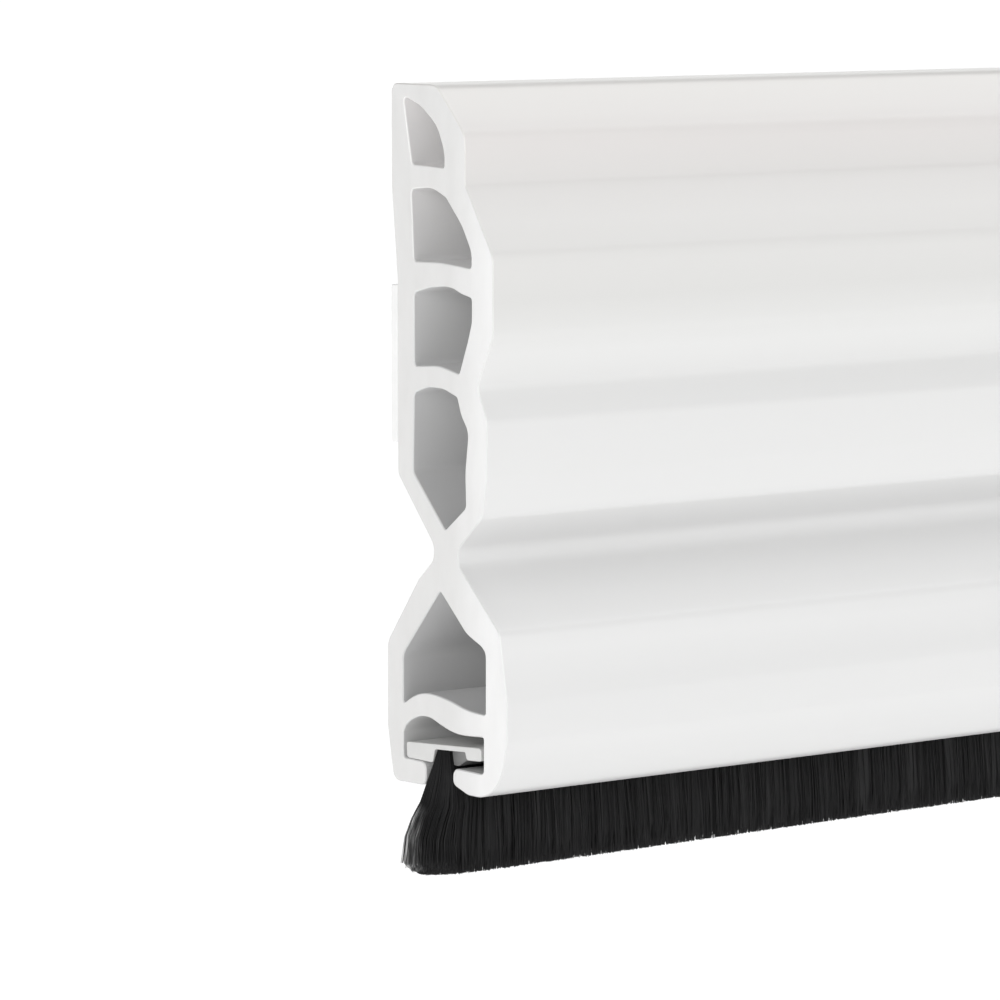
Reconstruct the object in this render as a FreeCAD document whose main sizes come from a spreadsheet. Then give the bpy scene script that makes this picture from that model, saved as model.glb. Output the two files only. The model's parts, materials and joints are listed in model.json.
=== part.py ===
import FreeCAD, Part
import math
import os

import Sketcher
from FreeCAD import Placement, Rotation, Vector

# A door sweep: a white hollow strip that sticks to the foot of a door and carries a black brush.
#
# The strip runs along X. Its decorative front faces -Y, its adhesive back faces the door at +Y,
# and +Z is up. The origin is the centre of the adhesive face.
#
# Every outline below is drawn about the axis of the narrow neck that joins the mounting profile to
# the brush carrier. "front" sizes are distances from that axis towards -Y, "back" sizes are
# distances towards +Y, and heights are above the axis when they are positive.

DIMENSIONS = [
    ("length", 1000.0, "length of the strip"),
    # the neck, where the strip flexes
    ("neck", 2.2, "thickness of the neck"),
    ("neck_land", 0.45, "half the height of the neck between the two profiles"),
    ("hinge_clearance", 0.05, "gap between the neck's web and the seat of the brush carrier"),
    # the mounting profile
    ("top", 26.4, "height of the top edge"),
    ("back_plane", 4.55, "back: the flat back that takes the tape"),
    ("back_foot", 4.2, "height where the flat back turns in to the neck"),
    ("head_back", 5.1, "back: the head, which reaches back nearly as far as the tape's outer face"),
    ("head_foot", 20.9, "height where the head's back starts to step in"),
    ("recess_top", 15.3, "height where the step meets the flat back"),
    ("top_bevel", 2.7, "height and width of the bevel along the top edge"),
    ("upper_groove", 1.9, "front: the floor of the upper groove"),
    ("upper_groove_foot", 21.1, "height where the upper groove's floor ends"),
    ("crown", 4.5, "front: the broad crown between the grooves"),
    ("crown_top", 17.0, "height of the crown's upper edge"),
    ("crown_foot", 12.6, "height of the crown's lower edge"),
    ("lower_groove", 3.05, "front: the bottom of the lower groove"),
    ("lower_groove_level", 9.7, "height of the lower groove"),
    ("skirt", 3.95, "front: the skirt's upper edge"),
    ("skirt_top", 7.8, "height of the skirt's upper edge"),
    ("skirt_lip", 3.42, "front: the skirt's lower edge"),
    ("skirt_foot", 2.35, "height of the skirt's lower edge"),
    ("back_wall", 1.6, "thickness of the back wall"),
    ("head_wall", 1.9, "thickness of the head's back wall"),
    ("roof_corner", 3.8, "back: the back corner of the top chamber's roof"),
    ("front_wall", 1.95, "thickness of the front wall"),
    ("top_wall", 0.9, "thickness of the top wall"),
    ("top_shoulder", 1.7, "back: where the top chamber's roof starts to fall"),
    ("top_shoulder_level", 24.8, "height of the top chamber's roof there"),
    ("top_eaves", 23.2, "height where the top chamber's roof meets its front wall"),
    ("rib", 1.25, "thickness of the three ribs"),
    ("upper_rib", 21.15, "height of the upper rib's middle"),
    ("middle_rib", 15.7, "height of the middle rib's middle"),
    ("lower_rib", 9.95, "height of the lower rib's middle"),
    ("mount_apex", 1.7, "height of the lowest chamber's pointed end"),
    ("mount_apex_back", 4.2, "height where the lowest chamber's back wall turns in"),
    # the brush carrier
    ("front_knee", 5.1, "front: the knee under the neck"),
    ("front_knee_level", -3.9, "height of the front knee"),
    ("back_shoulder", 2.7, "back: the slight bend between the neck and the back knee"),
    ("back_shoulder_level", -1.75, "height of that bend"),
    ("back_knee", 5.65, "back: the knee under the neck, and the flank below it"),
    ("back_knee_level", -5.5, "height of the back knee"),
    ("front_flank", 5.8, "front: the widest line of the flank"),
    ("front_flank_top", -7.8, "height where the front flank becomes upright"),
    ("flank_foot", -10.0, "height where the flanks turn in"),
    ("heel", 4.9, "front and back: the corner under each flank"),
    ("lip_foot", -13.4, "height of the underside of the lips"),
    ("lip", 1.35, "thickness of the lips"),
    ("slot_back", 2.0, "back: the tip of the back lip"),
    ("slot_front", 1.0, "front: the tip of the front lip"),
    ("carrier_wall", 1.6, "thickness of the carrier's back wall"),
    ("carrier_front_wall", 1.95, "thickness of the carrier's front wall"),
    ("carrier_apex", -2.15, "height of the carrier chamber's pointed end"),
    ("chamber_shoulder", 2.4, "front: the bend of the chamber's front roof"),
    ("chamber_shoulder_level", -4.45, "height of that bend"),
    ("chamber_eaves", -5.1, "height where the roof meets the front wall"),
    ("chamber_back_eaves", -5.9, "height where the roof meets the back wall"),
    ("wave_top", -8.75, "height of the wavy rib's upper side at the walls"),
    ("wave", 0.65, "how far the wavy rib rises at its crest"),
    ("wave_rib", 1.2, "thickness of the wavy rib"),
    ("crest", 1.3, "back: the crest of the wavy rib"),
    ("trough", 1.3, "front: the trough of the wavy rib"),
    # the brush
    ("backing_width", 6.9, "width of the backing strip"),
    ("backing_back", 0.2, "back: the middle of the backing strip"),
    ("backing_top", -10.55, "height of the backing strip's upper side"),
    ("backing_sheet", 0.5, "thickness of the backing strip"),
    ("curl", 1.2, "height of the backing strip's curled edges"),
    ("pile_back", 0.3, "back: the middle of the pile in the slot"),
    ("pile", 1.9, "thickness of the pile in the slot"),
    ("pile_round", 0.9, "radius of the free pile's rounded head"),
    ("pile_root_foot", -12.0, "height where the gathered root of the pile ends"),
    ("pile_pivot", -13.3, "height of the line about which the free pile bends"),
    ("pile_tip", -18.4, "height of the pile's tip"),
    ("pile_tip_back", 2.4, "back: the back edge of the tip"),
    ("pile_tip_front", 0.6, "front: the front edge of the tip"),
    # the adhesive
    ("tape_width", 9.0, "width of the foam tape"),
    ("tape", 0.6, "thickness of the foam tape"),
    ("tape_middle", 10.5, "height of the middle of the foam tape"),
    # rounding
    ("sharp", 0.25, "radius of the small corners"),
    ("small", 0.5, "radius of the chamber corners"),
    ("soft", 1.2, "radius of the mouldings' edges"),
    ("broad", 2.6, "radius of the wavy rib and the broadest edges"),
]


class Size:
    """A size worked out from the sheet: its value in millimetres and the expression that gives it."""

    def __init__(self, value, text):
        self.value = value
        self.text = text

    def __add__(self, other):
        other = as_size(other)
        return Size(self.value + other.value, f"({self.text} + {other.text})")

    def __sub__(self, other):
        other = as_size(other)
        return Size(self.value - other.value, f"({self.text} - {other.text})")

    def __mul__(self, other):
        other = as_size(other)
        return Size(self.value * other.value, f"({self.text} * {other.text})")

    def __truediv__(self, other):
        other = as_size(other)
        return Size(self.value / other.value, f"({self.text} / {other.text})")

    def __neg__(self):
        return Size(-self.value, f"(0 - {self.text})")


def as_size(number):
    if isinstance(number, Size):
        return number
    return Size(number, repr(float(number)))


def make_sheet(document):
    """The sheet of driving dimensions, one named cell for each."""
    sheet = document.addObject("Spreadsheet::Sheet", "Dimensions")
    for row, (alias, value, meaning) in enumerate(DIMENSIONS, start=1):
        sheet.set(f"A{row}", alias)
        sheet.set(f"B{row}", str(value))
        sheet.setAlias(f"B{row}", alias)
        sheet.set(f"C{row}", meaning)
    document.recompute()
    return sheet


doc = FreeCAD.newDocument("door_sweep")
dimensions = make_sheet(doc)


def size(alias):
    return Size(float(dimensions.get(alias)), f"Dimensions.{alias}")


HALF_NECK = size("neck") / 2
NECK_LAND = size("neck_land")


def front(distance):
    """The Y of a line that far in front of the neck's axis."""
    return -as_size(distance)


def back(distance):
    """The Y of a line that far behind the neck's axis."""
    return as_size(distance)


def front_at(upper, lower, height):
    """The front distance, at that height, of the straight run between two (front, height) points."""
    share = (upper[1] - height) / (upper[1] - lower[1])
    return upper[0] + (lower[0] - upper[0]) * share


# ---------------------------------------------------------------- sketching


def turn_at(before, corner, after):
    """Unit directions into and out of a corner, and the angle turned there, positive to the left."""
    into = (corner - before).normalize()
    out = (after - corner).normalize()
    angle = math.atan2(into.cross(out).z, into.dot(out))
    return into, out, angle


def rounded_corner(before, corner, after, radius):
    """Where the arc of a rounded corner starts, its centre and where it ends."""
    into, out, angle = turn_at(before, corner, after)
    reach = radius * math.tan(abs(angle) / 2)
    start = corner - into * reach
    end = corner + out * reach
    side = Vector(0, 0, math.copysign(1, angle)).cross(into)
    return start, start + side * radius, end, angle > 0


def arc_between(start, centre, end, left):
    """The arc from start to end, drawn anticlockwise as Sketcher keeps its arcs."""
    first, last = (start, end) if left else (end, start)
    begin = math.atan2(first.y - centre.y, first.x - centre.x)
    finish = math.atan2(last.y - centre.y, last.x - centre.x)
    if finish < begin:
        finish += 2 * math.pi
    circle = Part.Circle(centre, Vector(0, 0, 1), (start - centre).Length)
    return Part.ArcOfCircle(circle, begin, finish)


def draw_outline(sketch, corners):
    """Draw a closed outline through corners of (y, z, radius), each size bound to the sheet.

    A radius of None leaves the corner sharp. A rounded corner keeps its own point, as construction,
    so that the outline still moves with the sheet.
    """
    places = [Vector(y.value, z.value, 0) for y, z, radius in corners]
    count = len(corners)
    ends = []
    for index, (y, z, radius) in enumerate(corners):
        corner = places[index]
        if radius is None:
            ends.append((corner, None, corner, True))
        else:
            before = places[index - 1]
            after = places[(index + 1) % count]
            ends.append(rounded_corner(before, corner, after, radius.value))

    base = sketch.GeometryCount
    lines = [Part.LineSegment(ends[index][2], ends[(index + 1) % count][0]) for index in range(count)]
    sketch.addGeometry(lines, False)
    constraints = []
    bindings = []
    for index, (y, z, radius) in enumerate(corners):
        line_in = base + (index - 1) % count
        line_out = base + index
        start, centre, end, left = ends[index]
        if radius is None:
            point = line_out
            constraints.append(Sketcher.Constraint("Coincident", line_in, 2, line_out, 1))
        else:
            arc = sketch.addGeometry(arc_between(start, centre, end, left), False)
            point = sketch.addGeometry(Part.Point(places[index]), True)
            first, last = (1, 2) if left else (2, 1)
            constraints.append(Sketcher.Constraint("Tangent", line_in, 2, arc, first))
            constraints.append(Sketcher.Constraint("Tangent", arc, last, line_out, 1))
            constraints.append(Sketcher.Constraint("PointOnObject", point, 1, line_in))
            constraints.append(Sketcher.Constraint("PointOnObject", point, 1, line_out))
            bindings.append((len(constraints), radius))
            constraints.append(Sketcher.Constraint("Radius", arc, radius.value))
        bindings.append((len(constraints), y))
        constraints.append(Sketcher.Constraint("DistanceX", -1, 1, point, 1, y.value))
        bindings.append((len(constraints), z))
        constraints.append(Sketcher.Constraint("DistanceY", -1, 1, point, 1, z.value))
    first_constraint = sketch.ConstraintCount
    sketch.addConstraint(constraints)
    for offset, bound in bindings:
        sketch.setExpression(f"Constraints[{first_constraint + offset}]", bound.text)


# ---------------------------------------------------------------- features


def set_on_neck(piece):
    """Put the piece's own origin on the axis of the neck."""
    piece.setExpression("Placement.Base.y", "0 - Dimensions.back_plane - Dimensions.tape")
    piece.setExpression("Placement.Base.z", "0 - Dimensions.tape_middle")


def section_sketch(body, name):
    """A sketch on the body's own YZ plane: the cross-section of the strip."""
    sketch = body.newObject("Sketcher::SketchObject", name)
    plane = next(item for item in body.Origin.OriginFeatures if item.Role == "YZ_Plane")
    sketch.AttachmentSupport = [(plane, "")]
    sketch.MapMode = "FlatFace"
    doc.recompute()
    return sketch


def extruded_body(label, outlines):
    """A body extruded along the strip from its cross-section."""
    body = doc.addObject("PartDesign::Body", label)
    sketch = section_sketch(body, label + "_section")
    for corners in outlines:
        draw_outline(sketch, corners)
    doc.recompute()
    pad = body.newObject("PartDesign::Pad", label + "_extrusion")
    pad.Profile = sketch
    pad.Midplane = True
    pad.setExpression("Length", "Dimensions.length")
    doc.recompute()
    set_on_neck(body)
    return body


def cut_round_seat(body, name, radius):
    """Cut the hollow that fits the round web of the neck, right along the strip."""
    whole = body.Shape.Volume
    sketch = section_sketch(body, name + "_section")
    circle = sketch.addGeometry(Part.Circle(Vector(0, 0, 0), Vector(0, 0, 1), radius.value), False)
    sketch.addConstraint(Sketcher.Constraint("Coincident", circle, 3, -1, 1))
    sketch.addConstraint(Sketcher.Constraint("Radius", circle, radius.value))
    sketch.setExpression("Constraints[1]", radius.text)
    doc.recompute()
    pocket = body.newObject("PartDesign::Pocket", name)
    pocket.Profile = sketch
    pocket.Type = "ThroughAll"
    pocket.Midplane = True
    doc.recompute()
    assert body.Shape.Volume < whole - 1, name + " cut nothing"


# ---------------------------------------------------------------- the pieces


def mounting_profile():
    """The hollow upper profile: flat back, moulded front, three ribs and a pointed foot."""
    sharp = size("sharp")
    small = size("small")
    soft = size("soft")
    bevel_foot = (size("upper_groove"), size("top") - size("top_bevel"))
    groove_foot = (size("upper_groove"), size("upper_groove_foot"))
    crown_top = (size("crown"), size("crown_top"))
    crown_foot = (size("crown"), size("crown_foot"))
    groove = (size("lower_groove"), size("lower_groove_level"))
    skirt_top = (size("skirt"), size("skirt_top"))
    skirt_foot = (size("skirt_lip"), size("skirt_foot"))
    bevel_top = size("upper_groove") - size("top_bevel")
    outside = [
        (back(size("head_back")), size("top"), small),
        (front(bevel_top), size("top"), soft),
        (front(bevel_foot[0]), bevel_foot[1], soft),
        (front(groove_foot[0]), groove_foot[1], soft),
        (front(crown_top[0]), crown_top[1], soft),
        (front(crown_foot[0]), crown_foot[1], soft),
        (front(groove[0]), groove[1], small),
        (front(skirt_top[0]), skirt_top[1], small),
        (front(skirt_foot[0]), skirt_foot[1], small),
        (front(HALF_NECK), NECK_LAND, None),
        (back(HALF_NECK), NECK_LAND, None),
        (back(size("back_plane")), size("back_foot"), small),
        (back(size("back_plane")), size("recess_top"), soft),
        (back(size("head_back")), size("head_foot"), soft),
    ]

    wall = size("front_wall")
    half_rib = size("rib") / 2
    inner_back = back(size("back_plane") - size("back_wall"))
    head_inner_back = back(size("head_back") - size("head_wall"))

    def under(rib):
        return size(rib) - half_rib

    def above(rib):
        return size(rib) + half_rib

    def inner_front(distance):
        return front(distance - wall)

    top_chamber = [
        (back(size("roof_corner")), size("top") - size("top_wall"), sharp),
        (back(size("top_shoulder")), size("top_shoulder_level"), soft),
        (inner_front(bevel_foot[0]), size("top_eaves"), small),
        (inner_front(groove_foot[0]), above("upper_rib"), sharp),
        (head_inner_back, above("upper_rib"), sharp),
    ]
    second_chamber = [
        (head_inner_back, under("upper_rib"), sharp),
        (inner_front(front_at(groove_foot, crown_top, under("upper_rib"))), under("upper_rib"), soft),
        (inner_front(crown_top[0]), crown_top[1], small),
        (inner_front(crown_top[0]), above("middle_rib"), sharp),
        (inner_back, above("middle_rib"), sharp),
    ]
    third_chamber = [
        (inner_back, under("middle_rib"), sharp),
        (inner_front(crown_foot[0]), under("middle_rib"), sharp),
        (inner_front(crown_foot[0]), crown_foot[1], small),
        (inner_front(front_at(crown_foot, groove, above("lower_rib"))), above("lower_rib"), sharp),
        (inner_back, above("lower_rib"), sharp),
    ]
    pointed_chamber = [
        (inner_back, under("lower_rib"), sharp),
        (inner_front(groove[0]), under("lower_rib"), sharp),
        (inner_front(skirt_top[0]), skirt_top[1], small),
        (inner_front(skirt_foot[0]), skirt_foot[1], small),
        (front(0), size("mount_apex"), sharp),
        (inner_back, size("mount_apex_back"), small),
    ]
    chambers = [top_chamber, second_chamber, third_chamber, pointed_chamber]
    body = extruded_body("mounting_profile", [outside] + chambers)
    cut_round_seat(body, "upper_web_seat", HALF_NECK)
    return body


def brush_carrier():
    """The hollow lower profile: a pointed chamber over a wavy rib, and the lipped brush channel."""
    sharp = size("sharp")
    small = size("small")
    soft = size("soft")
    broad = size("broad")
    seat = HALF_NECK + size("hinge_clearance")
    lip_foot = size("lip_foot")
    lip_top = lip_foot + size("lip")
    wave_top = size("wave_top")
    wave_foot = wave_top - size("wave_rib")
    inner_front = front(size("front_flank") - size("carrier_front_wall"))
    inner_back = back(size("back_knee") - size("carrier_wall"))
    channel_front = inner_front + size("sharp")
    slot_front = front(size("slot_front"))
    slot_back = back(size("slot_back"))
    outside = [
        (back(seat), -NECK_LAND, None),
        (front(seat), -NECK_LAND, None),
        (front(size("front_knee")), size("front_knee_level"), soft),
        (front(size("front_flank")), size("front_flank_top"), broad),
        (front(size("front_flank")), size("flank_foot"), soft),
        (front(size("heel")), lip_foot, broad),
        (slot_front, lip_foot, small),
        (slot_front, lip_top, small),
        (channel_front, lip_top, sharp),
        (channel_front, wave_foot, sharp),
        (front(size("trough")), wave_foot, broad),
        (back(size("crest")), wave_foot + size("wave"), soft),
        (inner_back, wave_foot - size("wave") / 2, sharp),
        (inner_back, lip_top, sharp),
        (slot_back, lip_top, small),
        (slot_back, lip_foot, small),
        (back(size("heel")), lip_foot, small),
        (back(size("back_knee")), size("flank_foot"), soft),
        (back(size("back_knee")), size("back_knee_level"), soft),
        (back(size("back_shoulder")), size("back_shoulder_level"), soft),
    ]
    pointed_chamber = [
        (back(size("pile_back")), size("carrier_apex"), sharp),
        (front(size("chamber_shoulder")), size("chamber_shoulder_level"), soft),
        (inner_front, size("chamber_eaves"), sharp),
        (inner_front, wave_top, sharp),
        (front(size("trough")), wave_top, broad),
        (back(size("crest")), wave_top + size("wave"), broad),
        (inner_back, wave_top, sharp),
        (inner_back, size("chamber_back_eaves"), soft),
    ]
    body = extruded_body("brush_carrier", [outside, pointed_chamber])
    cut_round_seat(body, "lower_web_seat", seat)
    return body


def hinge_web():
    """The flexible web of the neck, between the two profiles."""
    web = doc.addObject("Part::Cylinder", "hinge_web")
    web.setExpression("Radius", "Dimensions.neck / 2")
    web.setExpression("Height", "Dimensions.length")
    web.Placement = Placement(Vector(0, 0, 0), Rotation(Vector(0, 1, 0), 90))
    web.setExpression("Placement.Base.x", "0 - Dimensions.length / 2")
    set_on_neck(web)
    return web


def adhesive_tape():
    """The double-sided foam tape along the flat back."""
    tape = doc.addObject("Part::Box", "adhesive_tape")
    tape.setExpression("Length", "Dimensions.length")
    tape.setExpression("Width", "Dimensions.tape")
    tape.setExpression("Height", "Dimensions.tape_width")
    tape.setExpression("Placement.Base.x", "0 - Dimensions.length / 2")
    tape.setExpression("Placement.Base.y", "0 - Dimensions.tape")
    tape.setExpression("Placement.Base.z", "0 - Dimensions.tape_width / 2")
    return tape


def brush_backing():
    """The plastic strip that holds the pile, with both edges curled down in the channel."""
    sheet = size("backing_sheet")
    half = size("backing_width") / 2
    middle = size("backing_back")
    top = size("backing_top")
    foot = top - size("curl")
    outside = [
        (middle + half, foot, None),
        (middle + half, top, size("small")),
        (middle - half, top, size("small")),
        (middle - half, foot, None),
        (middle - half + sheet, foot, None),
        (middle - half + sheet, top - sheet, None),
        (middle + half - sheet, top - sheet, None),
        (middle + half - sheet, foot, None),
    ]
    return extruded_body("brush_backing", [outside])


def pile_root():
    """The gathered root of the pile, fixed under the backing strip."""
    middle = size("pile_back")
    half = size("pile") / 2
    top = size("backing_top") - size("backing_sheet")
    outside = [
        (middle + half, top, None),
        (middle - half, top, None),
        (middle - half, size("pile_root_foot"), None),
        (middle + half, size("pile_root_foot"), None),
    ]
    return extruded_body("pile_root", [outside])


def brush_pile():
    """The free pile: round where it bends in the slot, fuller and swept back at its tip."""
    middle = size("pile_back")
    half = size("pile") / 2
    pivot = size("pile_pivot")
    outside = [
        (middle + half, pivot + half, size("pile_round")),
        (middle - half, pivot + half, size("pile_round")),
        (middle - half, pivot, None),
        (front(size("pile_tip_front")), size("pile_tip"), size("small")),
        (back(size("pile_tip_back")), size("pile_tip"), size("small")),
        (middle + half, pivot, None),
    ]
    return extruded_body("brush_pile", [outside])


# ---------------------------------------------------------------- build, check and write


def check(pieces):
    """Every object has recomputed cleanly and every piece is one valid solid."""
    doc.recompute()
    for item in doc.Objects:
        faults = [state for state in item.State if state in ("Invalid", "Error")]
        assert not faults, f"{item.Label}: {faults}"
    for piece in pieces:
        shape = piece.Shape
        assert not shape.isNull() and shape.isValid(), piece.Label
        assert len(shape.Solids) == 1, f"{piece.Label} has {len(shape.Solids)} solids"


def write(pieces):
    os.makedirs("parts", exist_ok=True)
    for piece in pieces:
        piece.Shape.exportStep(f"parts/{piece.Label}.step")
        box = piece.Shape.BoundBox
        extents = f"{box.XLength:.2f} x {box.YLength:.2f} x {box.ZLength:.2f}"
        print(f"{piece.Label}: {extents} mm, {piece.Shape.Volume / 1000:.2f} cm3")


strip_pieces = [
    mounting_profile(),
    hinge_web(),
    adhesive_tape(),
    brush_carrier(),
    brush_backing(),
    pile_root(),
    brush_pile(),
]
check(strip_pieces)
write(strip_pieces)
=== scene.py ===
import json
import math

import bmesh
import bpy
import numpy as np
from mathutils import Matrix, Vector
from mathutils.geometry import tessellate_polygon


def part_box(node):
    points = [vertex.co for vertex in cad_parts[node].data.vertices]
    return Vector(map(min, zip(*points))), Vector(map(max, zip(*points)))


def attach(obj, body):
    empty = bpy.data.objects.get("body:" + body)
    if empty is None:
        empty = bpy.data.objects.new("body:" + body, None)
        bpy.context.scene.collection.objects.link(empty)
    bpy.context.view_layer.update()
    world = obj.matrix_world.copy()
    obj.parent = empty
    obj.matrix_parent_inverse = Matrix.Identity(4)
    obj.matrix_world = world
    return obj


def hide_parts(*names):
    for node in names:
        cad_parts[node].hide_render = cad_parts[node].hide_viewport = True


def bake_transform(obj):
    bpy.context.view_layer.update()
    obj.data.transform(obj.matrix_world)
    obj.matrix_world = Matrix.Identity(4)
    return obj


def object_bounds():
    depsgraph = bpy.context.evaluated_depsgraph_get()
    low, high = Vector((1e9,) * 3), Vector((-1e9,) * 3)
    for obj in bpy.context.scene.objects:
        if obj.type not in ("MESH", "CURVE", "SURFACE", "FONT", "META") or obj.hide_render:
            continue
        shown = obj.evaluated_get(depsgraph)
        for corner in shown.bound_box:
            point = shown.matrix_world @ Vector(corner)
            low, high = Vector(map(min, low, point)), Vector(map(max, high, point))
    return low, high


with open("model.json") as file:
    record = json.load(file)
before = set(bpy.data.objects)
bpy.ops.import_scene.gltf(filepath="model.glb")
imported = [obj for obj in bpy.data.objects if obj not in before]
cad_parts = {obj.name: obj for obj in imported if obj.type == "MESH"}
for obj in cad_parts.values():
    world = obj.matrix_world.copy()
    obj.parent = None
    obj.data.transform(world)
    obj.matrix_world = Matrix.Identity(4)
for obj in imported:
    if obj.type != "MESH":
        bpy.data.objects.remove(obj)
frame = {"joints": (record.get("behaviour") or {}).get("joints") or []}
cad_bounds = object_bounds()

# A door sweep: a white hollow strip with a flexible neck, and a black brush in its lower channel.
# Lengths are in millimetres about the axis of the neck, as (front, height), and section_points()
# turns them into metres in the frame. Unless told otherwise, front is positive away from the door.

MM = 0.001
RANDOM = np.random.default_rng(7)

joints = {joint["name"]: joint for joint in frame["joints"]}
NECK = Vector(joints["carrier_swing"]["pos_m"])
profile_low, profile_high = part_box("mounting_profile")
NEAR_END = profile_low.x
FAR_END = profile_high.x

# ---------------------------------------------------------------- sizes, in millimetres

TOP = 26.4
# How far the back, the head's back and the chambers' back wall lie behind the axis of the neck.
BACK_PLANE = 4.55
HEAD_BACK = 5.1
INNER_BACK = 2.95
# The height of the back's lower corner.
BACK_FOOT = 4.2
# The neck's half width, and how far above and below its axis the flexible web reaches.
NECK_WAIST = 0.72
NECK_CUT = 0.95
# The heights of the three ribs between the chambers, and half of a rib's thickness.
RIBS = (21.15, 15.7, 9.95)
HALF_RIB = 0.62
# The heights of the lips' underside and top, and the two sides of the slot between the lips.
LIP_FOOT = -13.4
LIP_TOP = -12.05
SLOT_FRONT = 0.72
SLOT_BACK = -1.85
# The small bevel around each cut end.
CUT_BEVEL = 0.06
# The longest straight step in an arc, and in any outline.
ARC_STEP = 0.12
LONGEST_STEP = 0.5

# ---------------------------------------------------------------- outlines


def rounded_outline(corners):
    """A closed outline through corners of (front, height, radius), with its arcs in short steps."""
    count = len(corners)
    points = []
    for index, (front, height, radius) in enumerate(corners):
        corner = np.array((front, height))
        before = np.array(corners[index - 1][:2])
        after = np.array(corners[(index + 1) % count][:2])
        if radius == 0:
            points.append(corner)
            continue
        into = (corner - before) / np.linalg.norm(corner - before)
        out = (after - corner) / np.linalg.norm(after - corner)
        turn = math.atan2(into[0] * out[1] - into[1] * out[0], into @ out)
        start = corner - into * radius * math.tan(abs(turn) / 2)
        side = math.copysign(1, turn) * np.array((-into[1], into[0]))
        centre = start + side * radius
        steps = max(2, math.ceil(abs(turn) * radius / ARC_STEP), math.ceil(abs(turn) / 0.35))
        for step in range(steps + 1):
            angle = turn * step / steps
            spin = np.array(((math.cos(angle), -math.sin(angle)), (math.sin(angle), math.cos(angle))))
            points.append(centre + spin @ (start - centre))
    return np.array(points)


def even_steps(points, longest):
    """The same closed outline with its long straight runs divided."""
    out = []
    for index, point in enumerate(points):
        after = points[(index + 1) % len(points)]
        pieces = max(1, math.ceil(np.linalg.norm(after - point) / longest))
        out += [point + (after - point) * step / pieces for step in range(pieces)]
    return np.array(out)


def outward(points):
    """The way out at each point of a closed outline, on the right of its direction.

    Each is long enough for an outline moved by a distance along them to lie that distance away.
    """
    before = np.roll(points, 1, axis=0)
    after = np.roll(points, -1, axis=0)
    edge_in = points - before
    edge_out = after - points
    edge_in /= np.linalg.norm(edge_in, axis=1)[:, None]
    edge_out /= np.linalg.norm(edge_out, axis=1)[:, None]
    along = edge_in + edge_out
    along /= np.linalg.norm(along, axis=1)[:, None]
    normal = np.stack((along[:, 1], -along[:, 0]), axis=1)
    square = np.stack((edge_in[:, 1], -edge_in[:, 0]), axis=1)
    return normal / np.clip((normal * square).sum(1), 0.4, 1)[:, None]


def keep_side(points, normals, height, above):
    """The part of a closed outline above or below a height, closed by a straight line there."""
    kept, kept_normals = [], []
    count = len(points)
    for index in range(count):
        here, there = points[index], points[(index + 1) % count]
        inside = (here[1] > height) == above
        if inside:
            kept.append(here)
            kept_normals.append(normals[index])
        if inside != ((there[1] > height) == above):
            share = (height - here[1]) / (there[1] - here[1])
            edge = there - here
            kept.append(np.array((here[0] + edge[0] * share, height)))
            kept_normals.append(np.array((np.linalg.norm(edge) / edge[1], 0.0)))
    return np.array(kept), np.array(kept_normals)


def smooth_run(points, steps=6):
    """A smooth curve through points, as corners of no radius."""
    points = np.array(points)
    padded = np.concatenate((2 * points[:1] - points[1:2], points, 2 * points[-1:] - points[-2:-1]))
    run = []
    for before, here, there, after in zip(padded, padded[1:], padded[2:], padded[3:]):
        for share in np.arange(steps) / steps:
            bend = (there - before) * share
            bend = bend + (2 * before - 5 * here + 4 * there - after) * share ** 2
            bend = bend + (3 * here - before - 3 * there + after) * share ** 3
            run.append((*(here + bend / 2), 0))
    return run + [(*points[-1], 0)]


def profile_outline():
    """The whole strip's outer outline, anticlockwise with the front at the right."""
    wave_underside = [
        (-3.85, -10.2), (-3.3, -9.8), (-2.4, -9.48), (-1.5, -9.46), (-0.5, -9.74),
        (0.55, -10.0), (1.6, -10.08), (3.3, -9.98),
    ]
    corners = [
        (SLOT_FRONT, LIP_TOP, 0.45),
        (SLOT_FRONT, -13.0, 0.4),
        (2.1, LIP_FOOT - 0.02, 1.2),
        (4.9, LIP_FOOT, 2.6),
        (5.8, -10.0, 1.6),
        (5.8, -7.8, 2.6),
        (5.1, -3.9, 1.2),
        (NECK_WAIST, 0.0, 0.95),
        (3.42, 2.35, 0.6),
        (3.9, 4.6, 3.0),
        (3.95, 7.8, 0.9),
        (3.05, 9.7, 0.7),
        (4.5, 12.6, 1.5),
        (4.5, 17.0, 1.6),
        (1.9, 20.95, 0.6),
        (1.9, 23.7, 1.4),
        (-0.8, TOP, 1.2),
        (-HEAD_BACK, TOP, 0.5),
        (-HEAD_BACK, 20.6, 3.0),
        (-BACK_PLANE, 15.3, 3.0),
        (-BACK_PLANE, BACK_FOOT, 0.8),
        (-NECK_WAIST, 0.0, 0.95),
        (-2.7, -1.75, 1.2),
        (-5.6, -5.5, 1.2),
        (-5.6, -10.4, 1.6),
        (-5.0, LIP_FOOT - 0.1, 0.6),
        (SLOT_BACK, LIP_FOOT, 0.45),
        (SLOT_BACK, LIP_TOP, 0.45),
        (-4.05, LIP_TOP, 0.25),
        (-4.05, -10.55, 0.2),
        *smooth_run(wave_underside),
        (3.6, -9.98, 0.12),
        (3.6, LIP_TOP, 0.25),
    ]
    return even_steps(rounded_outline(corners), LONGEST_STEP)


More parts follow.
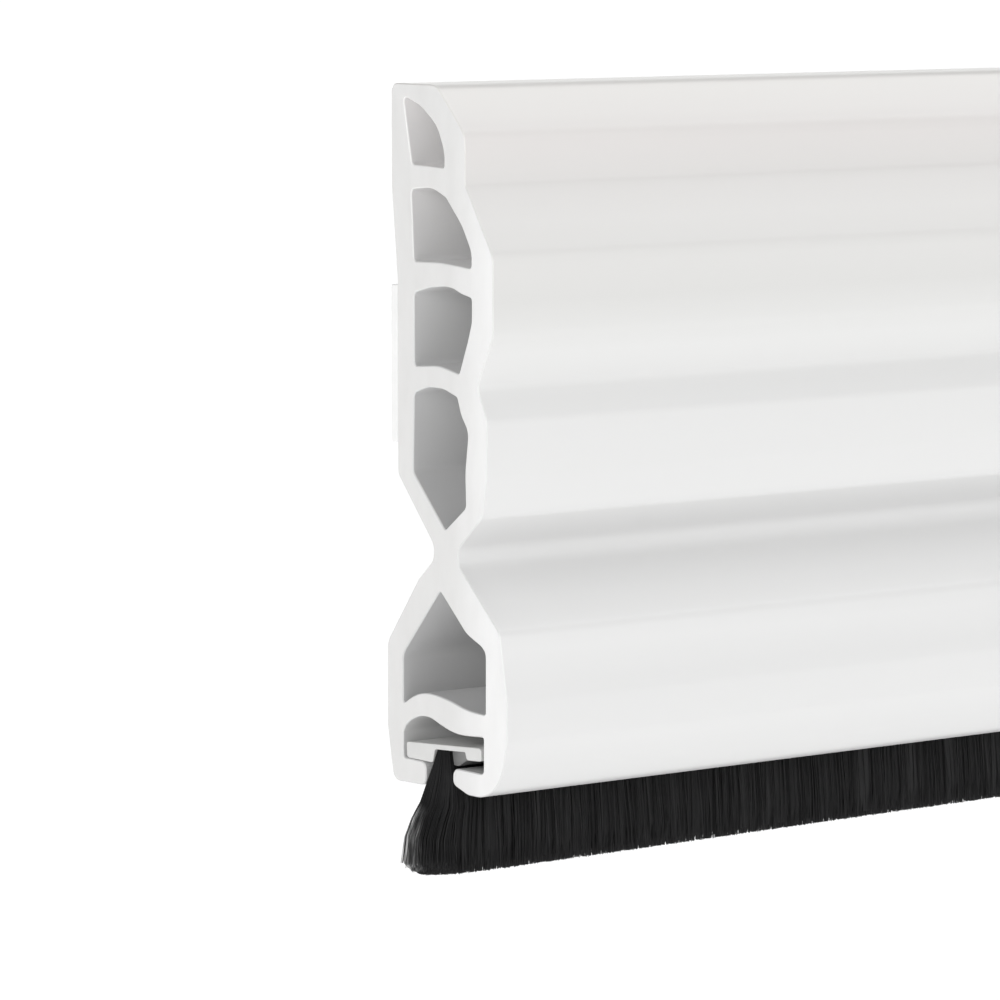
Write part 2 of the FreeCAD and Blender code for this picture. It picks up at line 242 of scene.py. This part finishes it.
def neck_ladder(points, normals):
    """The outline of the neck alone, with as many points up its front as down its back."""
    heights = np.linspace(-NECK_CUT, NECK_CUT, 17)
    near_axis = np.abs(points[:, 1]) < 3 * NECK_CUT
    sides = []
    for sign in (1, -1):
        side = near_axis & (points[:, 0] * sign > 0) & (np.abs(points[:, 0]) < 3.5)
        order = np.argsort(points[side][:, 1])
        fronts = np.interp(heights, points[side][order, 1], points[side][order, 0])
        shift = 1 / normals[side][order, 0]
        shifts = np.interp(heights, points[side][order, 1], shift)
        outline = np.stack((fronts, heights), axis=1)
        across = np.stack((shifts, np.zeros_like(heights)), axis=1)
        sides.append((outline, across))
    (front, front_normals), (back, back_normals) = sides
    return np.concatenate((front, back[::-1])), np.concatenate((front_normals, back_normals[::-1]))


def upper_chambers():
    """The four chambers of the mounting profile, clockwise, with gently arched ribs between them."""
    upper, middle, lower = RIBS
    top_chamber = [
        (-3.95, 25.72, 0.22),
        (-2.3, 25.2, 3.0),
        (-0.75, 24.1, 2.2),
        (-0.06, 22.7, 2.2),
        (-0.05, upper + HALF_RIB, 0.15),
        (-3.13, upper + HALF_RIB + 0.1, 0.3),
    ]
    second = [
        (-3.2, upper - HALF_RIB - 0.05, 0.3),
        (-1.3, 20.66, 2.5),
        (0.05, 20.15, 0.5),
        (1.6, 18.6, 4.0),
        (2.46, 17.2, 1.2),
        (2.48, middle + HALF_RIB - 0.04, 0.2),
        (-0.4, middle + HALF_RIB + 0.15, 8.0),
        (-INNER_BACK, middle + HALF_RIB + 0.08, 0.25),
    ]
    third = [
        (-INNER_BACK, 14.65, 0.35),
        (-1.4, 15.03, 3.0),
        (0.4, 15.2, 3.0),
        (1.5, 14.83, 2.0),
        (2.5, 14.64, 0.25),
        (2.5, 13.3, 1.6),
        (2.12, 12.2, 3.0),
        (1.33, lower + HALF_RIB - 0.25, 0.15),
        (-0.6, lower + HALF_RIB + 0.1, 5.0),
        (-INNER_BACK, lower + HALF_RIB - 0.1, 0.3),
    ]
    pointed = [
        (-INNER_BACK, 8.95, 0.35),
        (-1.6, 9.4, 2.5),
        (-0.2, 9.38, 2.5),
        (1.12, 9.0, 0.35),
        (1.5, 8.0, 1.5),
        (2.18, 7.1, 1.0),
        (1.87, 4.8, 5.0),
        (1.95, 2.85, 0.45),
        (0.0, 1.4, 0.22),
        (-3.05, 4.45, 0.6),
    ]
    return [top_chamber, second, third, pointed]


def carrier_chamber():
    """The pointed chamber of the brush carrier, clockwise, over the wavy rib."""
    wave_top = [
        (3.6, -8.66), (2.3, -8.6), (1.4, -8.46), (0.46, -8.26), (-1.0, -8.08),
        (-2.2, -8.13), (-3.1, -8.42), (-3.8, -8.8),
    ]
    return [
        (-0.5, -2.1, 0.2),
        (2.0, -4.3, 2.0),
        (3.4, -4.85, 0.8),
        (3.78, -5.2, 0.5),
        (3.78, -8.66, 0.15),
        *smooth_run(wave_top),
        (-4.05, -9.0, 0.15),
        (-4.05, -6.05, 1.0),
    ]


# ---------------------------------------------------------------- meshes


def section_points(points, x):
    """Points of a section, in metres in the frame, at one place along the strip."""
    return [(x, NECK.y - front * MM, NECK.z + height * MM) for front, height in points]


def new_mesh(name, vertices, faces, materials, face_materials=None, smooth_angle=35):
    """A mesh object in the scene, shaded smooth except at its sharper edges."""
    mesh = bpy.data.meshes.new(name)
    mesh.from_pydata(vertices, [], faces)
    for material in materials:
        mesh.materials.append(material)
    if face_materials is not None:
        mesh.polygons.foreach_set("material_index", face_materials)
    mesh.polygons.foreach_set("use_smooth", [True] * len(faces))
    mesh.set_sharp_from_angle(angle=math.radians(smooth_angle))
    mesh.update()
    piece = bpy.data.objects.new(name, mesh)
    bpy.context.scene.collection.objects.link(piece)
    return piece


def stations(bevel):
    """Places along the strip, closer together near its ends."""
    inner = np.linspace(NEAR_END + bevel, FAR_END - bevel, 101)
    return [NEAR_END, *inner, FAR_END]


def filled(end_loops):
    """Triangles over the area between the first outline and the others."""
    flat = [[Vector((front, height, 0)) for front, height in points] for points in end_loops]
    return [tuple(face) for face in tessellate_polygon(flat)]


def laddered(end_loops):
    """Level strips across an outline whose first half climbs and second half comes down."""
    count = len(end_loops[0])
    rungs = range(count // 2 - 1)
    return [(rung, rung + 1, count - 2 - rung, count - 1 - rung) for rung in rungs]


def extruded(name, loops, materials, bevel=CUT_BEVEL, end_faces=filled):
    """A strip of constant section, with materials for its outside, its cut ends and its inside.

    Each loop is (points, normals); the first is the outside and the others are the chambers.
    """
    places = stations(bevel * MM)
    vertices, faces, face_materials = [], [], []
    end_loops = []
    for number, (points, normals) in enumerate(loops):
        count = len(points)
        first = len(vertices)
        inset = points - normals * bevel
        for index, x in enumerate(places):
            at_end = index in (0, len(places) - 1)
            vertices += section_points(inset if at_end else points, x)
        for ring in range(len(places) - 1):
            low = first + ring * count
            high = low + count
            for index in range(count):
                after = (index + 1) % count
                faces.append((low + index, high + index, high + after, low + after))
                face_materials.append(0 if number == 0 else len(materials) - 1)
        last = first + (len(places) - 1) * count
        end_loops.append((inset, first, last))
    near = np.concatenate([np.arange(first, first + len(inset)) for inset, first, last in end_loops])
    far = np.concatenate([np.arange(last, last + len(inset)) for inset, first, last in end_loops])
    for face in end_faces([inset for inset, first, last in end_loops]):
        for end in (near, far):
            faces.append(tuple(int(end[corner]) for corner in face))
            face_materials.append(min(1, len(materials) - 1))
    piece = new_mesh(name, vertices, faces, materials, face_materials)
    recalculate_normals(piece)
    return piece


def recalculate_normals(piece):
    """Turn every face of a closed piece outwards."""
    work = bmesh.new()
    work.from_mesh(piece.data)
    bmesh.ops.recalc_face_normals(work, faces=work.faces)
    work.to_mesh(piece.data)
    work.free()


def make_profiles(plastic, cut_plastic, inner_plastic):
    """The mounting profile, the brush carrier and the flexible web of the neck between them."""
    materials = [plastic, cut_plastic, inner_plastic]
    whole = profile_outline()
    normals = outward(whole)
    upper = [keep_side(whole, normals, NECK_CUT, True)]
    for corners in upper_chambers():
        points = even_steps(rounded_outline(corners), LONGEST_STEP)
        upper.append((points, outward(points)))
    mounting = extruded("mounting_profile_shell", upper, materials)
    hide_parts("mounting_profile")
    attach(mounting, "mounting")

    chamber = even_steps(rounded_outline(carrier_chamber()), LONGEST_STEP)
    lower = [keep_side(whole, normals, -NECK_CUT, False), (chamber, outward(chamber))]
    carrier = extruded("brush_carrier_shell", lower, materials)
    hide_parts("brush_carrier")
    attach(carrier, "carrier")

    neck = extruded("neck_web", [neck_ladder(whole, normals)], materials[:2], end_faces=laddered)
    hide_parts("hinge_web")
    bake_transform(neck)


# ---------------------------------------------------------------- the tape

TAPE_LOW = 6.0
TAPE_HIGH = 15.0
TAPE_THICKNESS = 0.6


def make_tape(material):
    """The foam tape on the strip's flat back."""
    outer = -BACK_PLANE - TAPE_THICKNESS
    corners = [
        (-BACK_PLANE, TAPE_LOW, 0.05),
        (-BACK_PLANE, TAPE_HIGH, 0.05),
        (outer, TAPE_HIGH, 0.12),
        (outer, TAPE_LOW, 0.12),
    ]
    outline = even_steps(rounded_outline(corners), LONGEST_STEP)
    tape = extruded("foam_tape", [(outline, outward(outline))], [material], bevel=0.04)
    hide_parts("adhesive_tape")
    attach(tape, "mounting")


# ---------------------------------------------------------------- the brush

BACKING_HALF = 3.55
BACKING_MIDDLE = -0.19
BACKING_TOP = -10.85
BACKING_TILT = math.radians(4)
BACKING_SHEET = 0.3
# The bead at the roots stops a little short of the backing's ends.
ROOT_BEAD_SHARE = 0.9995


def backing_outline():
    """The backing: a thin sheet, tilted in its channel, with a solid bead along either edge."""
    corners = [
        (BACKING_HALF, -0.75, 0.2),
        (BACKING_HALF, 0, 0.2),
        (-BACKING_HALF, 0, 0.2),
        (-BACKING_HALF, -0.91, 0.2),
        (-1.1, -1.07, 0.2),
        (-0.85, -BACKING_SHEET, 0.2),
        (2.05, -BACKING_SHEET, 0.1),
        (2.15, -0.75, 0.2),
    ]
    tilt = np.array((
        (math.cos(BACKING_TILT), -math.sin(BACKING_TILT)),
        (math.sin(BACKING_TILT), math.cos(BACKING_TILT)),
    ))
    tilted = rounded_outline(corners) @ tilt.T
    return even_steps(tilted + (BACKING_MIDDLE, BACKING_TOP), LONGEST_STEP)


def make_backing(plastic, shaded_bead_plastic):
    """The backing sheet, and the bead of its plastic that holds the roots along the pile's front."""
    outline = backing_outline()
    sheet = extruded("backing_strip", [(outline, outward(outline))], [plastic], bevel=0.03)
    bead_corners = [
        (0.15, -11.0, 0),
        (0.35, -11.95, 0.12),
        (0.95, -11.95, 0.3),
        (2.1, -11.3, 0.4),
        (2.3, -10.95, 0),
    ]
    outline = even_steps(rounded_outline(bead_corners), LONGEST_STEP)
    # The bead's dark colour is partly painted shade from under the backing sheet.
    bead = extruded("root_bead", [(outline, outward(outline))], [shaded_bead_plastic], bevel=0.03)
    for vertex in bead.data.vertices:
        vertex.co.x *= ROOT_BEAD_SHARE
    for piece in (sheet, bead):
        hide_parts("brush_backing")
        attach(piece, "brush")


# The brush level by level: height, middle (front), half width, and how far an end bristle has
# fanned out past the end of the strip.
PILE_LEVELS = np.array((
    (-11.05, -0.2, 0.5, 0.0),
    (-13.0, -0.48, 1.22, 0.0),
    (-14.4, -0.7, 1.56, 0.08),
    (-15.4, -0.8, 1.78, 0.44),
    (-16.6, -0.88, 1.97, 0.7),
    (-18.47, -0.96, 2.12, 0.68),
))
# How far from an end the bristles begin to fan out.
FAN_LENGTH = 2.6
# The closed core's share of the pile's thickness.
CORE_SHARE = 0.86
BRISTLE_COUNT = 118000
# The extra bristles packed into the last millimetre of each end.
END_BRISTLES = 2200
END_PACKING = 0.9
# How far the outermost roots lie inside the strip's ends.
ROOT_INSET = 0.05
BRISTLE_RADIUS = 0.034
PIECES = 20
# The slope of the cut across the tips, in front of the pile's middle and behind it.
FRONT_SLANT = 0.21
BACK_SLANT = 0.13


def bristle_lines():
    """The rings of each bristle, from root to tip: arrays of (x, front, height) in millimetres."""
    half_length = (FAR_END - NEAR_END) / 2 / MM
    last_root = half_length - ROOT_INSET
    along = RANDOM.uniform(-last_root, last_root, BRISTLE_COUNT)
    extra = last_root - END_PACKING * RANDOM.random(2 * END_BRISTLES) ** 1.5
    extra[:END_BRISTLES] *= -1
    along = np.sort(np.concatenate((along, extra)))
    count = len(along)
    # Where each bristle stands across the pile: more of them near its two faces.
    across = RANDOM.uniform(-1, 1, count)
    across = np.sign(across) * np.abs(across) ** 0.7
    # How far each tip leans across the pile, and a few strays that lean further.
    drift = RANDOM.normal(0, 0.08, count)
    stray = RANDOM.random(count) < 0.01
    drift += np.where(stray, np.clip(RANDOM.normal(0, 0.2, count), -0.3, 0.3), 0)
    # How far each tip leans along the strip: outwards at the ends, and in loose tufts elsewhere.
    to_end = half_length - np.abs(along)
    fan_share = np.clip(1 - to_end / FAN_LENGTH, 0, 1)
    fan = fan_share * np.clip(RANDOM.normal(1.0, 0.06, count), 0.85, 1.12) * np.sign(along)
    tufts = 0.12 * np.sin(along / 2.9) * np.sin(along / 11.3 + 1)
    lean = RANDOM.normal(0, 0.15, count) + tufts
    # How much shorter each bristle is: a slow wave along the cut, and rounded ends.
    cut_error = np.clip(RANDOM.normal(0, 0.025, count), -0.08, 0.08)
    cut_error += 0.04 + 0.1 * np.sin((to_end - 20) / 16)
    cut_error += 0.85 * np.clip(fan_share - 0.55, 0, 1) ** 2 / 0.2
    depths = PILE_LEVELS[0, 0] - PILE_LEVELS[:, 0]
    shares = depths / depths[-1]
    rings = []
    for share, (level, middle, half, fanned) in zip(shares, PILE_LEVELS):
        front = middle + half * across + drift * share ** 1.5
        sideways = lean * share ** 1.25 + fan * fanned
        slant = np.where(front > middle, FRONT_SLANT, BACK_SLANT) * (front - middle)
        slant += 0.2 * np.clip(-across - 0.75, 0, 1) ** 2 / 0.06
        lift = 0.05 * sideways ** 2 + (slant + cut_error) * share ** 3
        rings.append(np.stack((along + sideways, front, level + lift), axis=1))
    return np.stack(rings, axis=1)


def bristle_mesh(name, lines, material):
    """Thin three-sided bristles, closed at both ends, as one mesh."""
    count, rings, _ = lines.shape
    turn = RANDOM.uniform(0, 2 * math.pi, count)[:, None] + np.arange(3) * 2 * math.pi / 3
    ring = np.stack((np.cos(turn), np.sin(turn), np.zeros_like(turn)), axis=2) * BRISTLE_RADIUS
    thinning = np.linspace(1.0, 0.8, rings)
    points = lines[:, :, None, :] + ring[:, None, :, :] * thinning[None, :, None, None]
    vertices = np.stack((
        points[..., 0] * MM,
        NECK.y - points[..., 1] * MM,
        NECK.z + points[..., 2] * MM,
    ), axis=-1).reshape(-1, 3)
    corner = np.arange(3)
    after = (corner + 1) % 3
    quads = []
    for level in range(rings - 1):
        low, high = level * 3, level * 3 + 3
        quads.append(np.stack((low + corner, low + after, high + after, high + corner), axis=1))
    quads = np.concatenate(quads)
    per_bristle = rings * 3
    starts = np.arange(count) * per_bristle
    sides = (starts[:, None, None] + quads[None]).reshape(-1, 4)
    tips = starts[:, None] + (rings - 1) * 3 + corner[None]
    roots = starts[:, None] + corner[None, ::-1]
    mesh = bpy.data.meshes.new(name)
    mesh.vertices.add(len(vertices))
    mesh.vertices.foreach_set("co", vertices.astype(np.float32).ravel())
    indices = np.concatenate((sides.ravel(), tips.ravel(), roots.ravel())).astype(np.int32)
    sizes = np.concatenate((np.full(len(sides), 4), np.full(2 * count, 3)))
    mesh.loops.add(len(indices))
    mesh.loops.foreach_set("vertex_index", indices)
    mesh.polygons.add(len(sizes))
    loop_starts = np.concatenate(([0], np.cumsum(sizes)[:-1])).astype(np.int32)
    mesh.polygons.foreach_set("loop_start", loop_starts)
    mesh.polygons.foreach_set("use_smooth", [True] * len(sizes))
    # How grey each point is: a painted highlight of light grey wisps at the back corner of the fan past
    # each end.
    past_end = np.abs(points[..., 0]) - (FAR_END - NEAR_END) / 2 / MM
    behind = -points[..., 1]
    painted_glint_mask = np.clip((past_end - 0.15) / 0.5, 0, 1) * np.clip((behind - 1.2) / 1.4, 0, 1)
    attribute = mesh.attributes.new("painted_glint_mask", "FLOAT", "POINT")
    attribute.data.foreach_set("value", painted_glint_mask.astype(np.float32).ravel())
    mesh.materials.append(material)
    mesh.update(calc_edges=True)
    mesh.validate()
    piece = bpy.data.objects.new(name, mesh)
    bpy.context.scene.collection.objects.link(piece)
    return piece


def make_core(material):
    """The closely packed middle of the pile, under the loose outer bristles."""
    levels, middles, halves, fanned = PILE_LEVELS.T
    front = np.stack((middles + CORE_SHARE * halves, levels), axis=1)
    back = np.stack((middles - CORE_SHARE * halves, levels), axis=1)
    front[-1] += (-0.15, 0.28 + FRONT_SLANT * halves[-1])
    back[-1] += (0.25, 0.28 - BACK_SLANT * halves[-1])
    outline = even_steps(np.concatenate((front[::-1], back)), 0.3)
    core = extruded("pile_core", [(outline, outward(outline))], [material], bevel=0.12)
    for vertex in core.data.vertices:
        past_end = abs(vertex.co.x) > FAR_END - 0.5 * MM
        if past_end:
            height = (vertex.co.z - NECK.z) / MM
            rounding = math.sqrt(1 - min(1, max(0, -height - 16.9) / 1.35) ** 2)
            spread = 0.9 * np.interp(-height, -levels, fanned) * rounding - 0.08
            vertex.co.x += math.copysign(1, vertex.co.x) * spread * MM
    return core


def make_pile(material):
    """The core and all the bristles, bending smoothly from the slot down."""
    lines = bristle_lines()
    pieces = [make_core(material)]
    for number, part in enumerate(np.array_split(lines, PIECES), start=1):
        pieces.append(bristle_mesh(f"bristles_{number:02d}", part, material))
    for piece in pieces:
        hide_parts("brush_pile", "pile_root")
        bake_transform(piece)


# ---------------------------------------------------------------- materials


def plain_material(name, colour, roughness):
    """A material of one colour, for the node trees below to start from."""
    material = bpy.data.materials.new(name)
    material.use_nodes = True
    shader = material.node_tree.nodes["Principled BSDF"]
    shader.inputs["Base Color"].default_value = (*colour, 1)
    shader.inputs["Roughness"].default_value = roughness
    return material


def stretched_noise(tree, stretch, turn=0.0, detail=3.0):
    """Noise over the object's own coordinates, with that many features per metre along each axis."""
    place = tree.nodes.new("ShaderNodeTexCoord")
    mapping = tree.nodes.new("ShaderNodeMapping")
    mapping.inputs["Rotation"].default_value = (turn, 0, 0)
    mapping.inputs["Scale"].default_value = stretch
    noise = tree.nodes.new("ShaderNodeTexNoise")
    noise.inputs["Scale"].default_value = 1.0
    noise.inputs["Detail"].default_value = detail
    tree.links.new(place.outputs["Object"], mapping.inputs["Vector"])
    tree.links.new(mapping.outputs["Vector"], noise.inputs["Vector"])
    return noise.outputs["Fac"]


def tinted(tree, value, low, high, start=0.3, stop=0.7):
    """A colour between two others, as a value goes from start to stop."""
    ramp = tree.nodes.new("ShaderNodeValToRGB")
    ramp.color_ramp.elements[0].position = start
    ramp.color_ramp.elements[1].position = stop
    ramp.color_ramp.elements[0].color = (*low, 1)
    ramp.color_ramp.elements[1].color = (*high, 1)
    tree.links.new(value, ramp.inputs["Fac"])
    return ramp.outputs["Color"]


def ranged(tree, value, low, high, start=0.3, stop=0.7):
    """A value between two others, as a value goes from start to stop."""
    spread = tree.nodes.new("ShaderNodeMapRange")
    spread.inputs["From Min"].default_value = start
    spread.inputs["From Max"].default_value = stop
    spread.inputs["To Min"].default_value = low
    spread.inputs["To Max"].default_value = high
    tree.links.new(value, spread.inputs["Value"])
    return spread.outputs["Result"]


def bumped(tree, height, distance, strength, under=None):
    """A bump whose relief is distance deep, over another bump if there is one."""
    bump = tree.nodes.new("ShaderNodeBump")
    bump.inputs["Distance"].default_value = distance
    bump.inputs["Strength"].default_value = strength
    tree.links.new(height, bump.inputs["Height"])
    if under is not None:
        tree.links.new(under, bump.inputs["Normal"])
    return bump.outputs["Normal"]


def object_axis(tree, axis):
    """The object's own X, Y or Z, in metres."""
    place = tree.nodes.new("ShaderNodeTexCoord")
    axes = tree.nodes.new("ShaderNodeSeparateXYZ")
    tree.links.new(place.outputs["Object"], axes.inputs["Vector"])
    return axes.outputs[axis]


def calculated(tree, operation, *values):
    """One step of arithmetic on values, each a number or another node's result."""
    step = tree.nodes.new("ShaderNodeMath")
    step.operation = operation
    for socket, value in zip(step.inputs, values):
        if isinstance(value, (int, float)):
            socket.default_value = value
        else:
            tree.links.new(value, socket)
    return step.outputs["Value"]


def multiplied(tree, first, second):
    """The product of two colours."""
    mix = tree.nodes.new("ShaderNodeMix")
    mix.data_type = "RGBA"
    mix.blend_type = "MULTIPLY"
    mix.inputs[0].default_value = 1
    tree.links.new(first, mix.inputs[6])
    tree.links.new(second, mix.inputs[7])
    return mix.outputs[2]


def noisy_material(name, low, high, mottle, roughness, reliefs, shade=None):
    """A material with mottled colour and roughness, and a list of (noise, depth, strength) reliefs.

    A shade is a function from the node tree to a colour that the mottled colour is multiplied by.
    """
    material = plain_material(name, low, roughness[0])
    tree = material.node_tree
    shader = tree.nodes["Principled BSDF"]
    patches = stretched_noise(tree, mottle)
    colour = tinted(tree, patches, low, high, 0, 1)
    if shade is not None:
        colour = multiplied(tree, colour, shade(tree))
    tree.links.new(colour, shader.inputs["Base Color"])
    tree.links.new(ranged(tree, patches, *roughness, 0, 1), shader.inputs["Roughness"])
    normal = None
    for stretch, turn, depth, strength in reliefs:
        normal = bumped(tree, stretched_noise(tree, stretch, turn), depth, strength, normal)
    tree.links.new(normal, shader.inputs["Normal"])
    return material


def painted_shade_up_the_strip(tree):
    """Painted light and shade in bands up the strip: the white plastic is darker at the grooves, the
    neck and the crown, lighter at the head's top edge, and a little warmer up the head.
    """
    stops = (
        (-13.4, (0.87, 0.87, 0.87)),
        (-10.5, (0.945, 0.945, 0.945)),
        (-7.0, (0.935, 0.935, 0.935)),
        (-5.0, (0.965, 0.965, 0.965)),
        (-1.0, (0.895, 0.895, 0.895)),
        (1.2, (0.88, 0.88, 0.88)),
        (2.8, (0.96, 0.96, 0.96)),
        (8.8, (0.93, 0.93, 0.928)),
        (11.5, (0.95, 0.95, 0.945)),
        (14.5, (0.865, 0.862, 0.85)),
        (18.8, (0.915, 0.905, 0.895)),
        (20.9, (0.885, 0.87, 0.86)),
        (23.4, (0.905, 0.878, 0.868)),
        (24.6, (0.97, 0.95, 0.935)),
        (26.4, (1.0, 0.985, 0.965)),
    )
    return shade_by_height(tree, stops)


def shade_by_height(tree, stops):
    """A colour that changes up the strip, from (height, colour) stops."""
    foot, head = stops[0][0], stops[-1][0]
    share = ranged(tree, object_axis(tree, "Z"), 0, 1, NECK.z + foot * MM, NECK.z + head * MM)
    ramp = tree.nodes.new("ShaderNodeValToRGB")
    elements = ramp.color_ramp.elements
    while len(elements) < len(stops):
        elements.new(0.5)
    for element, (height, colour) in zip(elements, stops):
        element.position = (height - foot) / (head - foot)
        element.color = (*colour, 1)
    tree.links.new(share, ramp.inputs["Fac"])
    return ramp.outputs["Color"]


def painted_shade_in_the_chambers(tree):
    """Painted shade in the chambers: greyer towards the foot of the strip."""
    stops = (
        (-10.0, (0.69, 0.69, 0.69)),
        (5.5, (0.73, 0.73, 0.73)),
        (13.0, (0.81, 0.81, 0.808)),
        (26.0, (0.98, 0.965, 0.96)),
    )
    return shade_by_height(tree, stops)


def chamber_pvc():
    """The inside of the chambers, left matt and lined by the die, with painted shade that deepens
    towards the foot of the strip.
    """
    die_lines = ((6, 2200, 2200), 0, 0.03 * MM, 0.4)
    grain = ((5000, 5000, 5000), 0, 0.01 * MM, 0.4)
    low, high = (0.94, 0.94, 0.94), (0.97, 0.97, 0.97)
    reliefs = [die_lines, grain]
    mottle, roughness = (30, 300, 300), (0.5, 0.6)
    return noisy_material("chamber_pvc", low, high, mottle, roughness, reliefs, painted_shade_in_the_chambers)


def white_pvc():
    """Satin extruded PVC: faint lines from the die along the strip, a very fine grain, and painted
    light and shade in bands up the strip.
    """
    die_lines = ((6, 1400, 1400), 0, 0.02 * MM, 0.25)
    grain = ((4000, 4000, 4000), 0, 0.004 * MM, 0.3)
    low, high = (0.755, 0.755, 0.752), (0.8, 0.8, 0.797)
    reliefs = [die_lines, grain]
    mottle, roughness = (9, 120, 120), (0.25, 0.36)
    return noisy_material("white_pvc", low, high, mottle, roughness, reliefs, painted_shade_up_the_strip)


def painted_light_towards_front(tree):
    """Painted light on the cut ends: brighter across the front wall's cut than across the back wall and
    the ribs.
    """
    back, front = NECK.y - 0.5 * MM, NECK.y - 4.0 * MM
    share = ranged(tree, object_axis(tree, "Y"), 0, 1, back, front)
    return tinted(tree, share, (0.86, 0.858, 0.853), (1.0, 1.0, 1.0), 0, 1)


def sawn_pvc():
    """The cut ends: duller, with the fine upright scores of a saw, and painted light that brightens
    them towards the front wall.
    """
    scores = ((50, 5200, 420), 0.2, 0.02 * MM, 0.5)
    grain = ((7000, 7000, 7000), 0, 0.01 * MM, 0.4)
    low, high = (0.84, 0.837, 0.832), (0.93, 0.93, 0.928)
    reliefs = [scores, grain]
    mottle, roughness = (300, 900, 300), (0.5, 0.62)
    return noisy_material("sawn_pvc", low, high, mottle, roughness, reliefs, painted_light_towards_front)


def milky_plastic():
    """The brush's backing: thin milky polypropylene with lengthwise lines."""
    lines = ((8, 3000, 3000), 0, 0.02 * MM, 0.4)
    low, high = (0.62, 0.62, 0.61), (0.74, 0.74, 0.73)
    return noisy_material("milky_plastic", low, high, (60, 700, 700), (0.3, 0.42), [lines])


def root_bead_painted_shade():
    """The bead at the roots: the same plastic, darkened by the bristles melted into it and by painted
    shade from under the backing sheet.
    """
    lines = ((8, 3000, 3000), 0, 0.02 * MM, 0.4)
    low, high = (0.12, 0.12, 0.12), (0.24, 0.24, 0.235)
    return noisy_material("root_bead_painted_shade", low, high, (900, 900, 900), (0.35, 0.5), [lines])


def foam():
    """The tape: fine closed-cell foam."""
    cells = ((3800, 3800, 3800), 0, 0.05 * MM, 0.6)
    low, high = (0.86, 0.86, 0.855), (0.95, 0.95, 0.945)
    return noisy_material("tape_foam", low, high, (500, 500, 500), (0.5, 0.7), [cells])


def black_bristle():
    """Black nylon, each bristle a little different, and painted highlights as light grey wisps at the
    ends' back corner.
    """
    material = plain_material("black_bristle", (0.012, 0.012, 0.013), 0.5)
    tree = material.node_tree
    shader = tree.nodes["Principled BSDF"]
    shader.inputs["Specular IOR Level"].default_value = 0.22
    island = tree.nodes.new("ShaderNodeNewGeometry").outputs["Random Per Island"]
    attribute = tree.nodes.new("ShaderNodeAttribute")
    attribute.attribute_name = "painted_glint_mask"
    painted_glint_mask = attribute.outputs["Fac"]
    wisps = ranged(tree, stretched_noise(tree, (2600, 2600, 500)), 0.25, 1.0, 0.38, 0.58)
    # Painted highlight: light grey wisps on the bristles at the back corner of the fan past each end.
    painted_glint_grey = calculated(tree, "MULTIPLY", painted_glint_mask, calculated(tree, "MULTIPLY", island, wisps))
    shade = calculated(tree, "MAXIMUM", painted_glint_grey, calculated(tree, "MULTIPLY", island, 0.0133))
    colour = tinted(tree, shade, (0.006, 0.006, 0.0065), (0.9, 0.9, 0.9), 0.0, 1.0)
    tree.links.new(colour, shader.inputs["Base Color"])
    scuffs = stretched_noise(tree, (2500, 2500, 900))
    tree.links.new(ranged(tree, scuffs, 0.5, 0.68), shader.inputs["Roughness"])
    return material


# ---------------------------------------------------------------- stage


def towards(azimuth, elevation):
    """The direction of something seen from the object; azimuth 0 is in front, 90 beyond the far end."""
    turn, lift = math.radians(azimuth), math.radians(elevation)
    return Vector((math.sin(turn) * math.cos(lift), -math.cos(turn) * math.cos(lift), math.sin(lift)))


def camera():
    """A long lens close to the near end, from the front left and a little above."""
    azimuth, elevation = -37, 6.5
    distance = 298.6 * MM
    aside = 3.1 * MM
    back = towards(azimuth, elevation)
    right = Vector((math.cos(math.radians(azimuth)), math.sin(math.radians(azimuth)), 0))
    up = back.cross(right)
    data = bpy.data.cameras.new("camera")
    data.lens = 190.8
    data.sensor_width = 36
    data.clip_start = 0.01
    data.clip_end = 50
    view = bpy.data.objects.new("camera", data)
    bpy.context.scene.collection.objects.link(view)
    aim = Vector((NEAR_END, NECK.y, NECK.z)) + (right + up) * aside
    view.location = aim + back * distance
    view.rotation_euler = Matrix((right, up, back)).transposed().to_euler()
    bpy.context.scene.camera = view


def softbox(name, azimuth, elevation, energy):
    """A broad, even light from far away."""
    sun = bpy.data.lights.new(name, "SUN")
    sun.energy = energy
    sun.angle = math.radians(40)
    lamp = bpy.data.objects.new(name, sun)
    lamp.rotation_euler = towards(azimuth, elevation).to_track_quat("Z", "Y").to_euler()
    bpy.context.scene.collection.objects.link(lamp)


def stage():
    """A pale floor, an even white world and five soft lights."""
    world = bpy.data.worlds.new("studio")
    world.use_nodes = True
    world.node_tree.nodes["Background"].inputs["Color"].default_value = (1, 1, 1, 1)
    world.node_tree.nodes["Background"].inputs["Strength"].default_value = 0.2
    bpy.context.scene.world = world
    bpy.context.scene.view_settings.view_transform = "Standard"
    floor_material = plain_material("floor", (0.9, 0.9, 0.9), 0.9)
    shader = floor_material.node_tree.nodes["Principled BSDF"]
    shader.inputs["Specular IOR Level"].default_value = 0
    shader.inputs["Emission Color"].default_value = (1, 1, 1, 1)
    shader.inputs["Emission Strength"].default_value = 0.47
    half = 30.0
    height = cad_bounds[0].z - 0.12
    corners = [
        (-half, -half, height),
        (half, -half, height),
        (half, half, height),
        (-half, half, height),
    ]
    floor = new_mesh("floor", corners, [(0, 1, 2, 3)], [floor_material])
    softbox("key", 15, 20, 1.11)
    softbox("end_fill", -68, 10, 1.45)
    softbox("end_top", -90, 45, 0.3)
    softbox("rim", 80, 50, 0.7)
    softbox("behind", 145, 14, 0.4)


make_profiles(white_pvc(), sawn_pvc(), chamber_pvc())
make_tape(foam())
make_backing(milky_plastic(), root_bead_painted_shade())
make_pile(black_bristle())
camera()
stage()
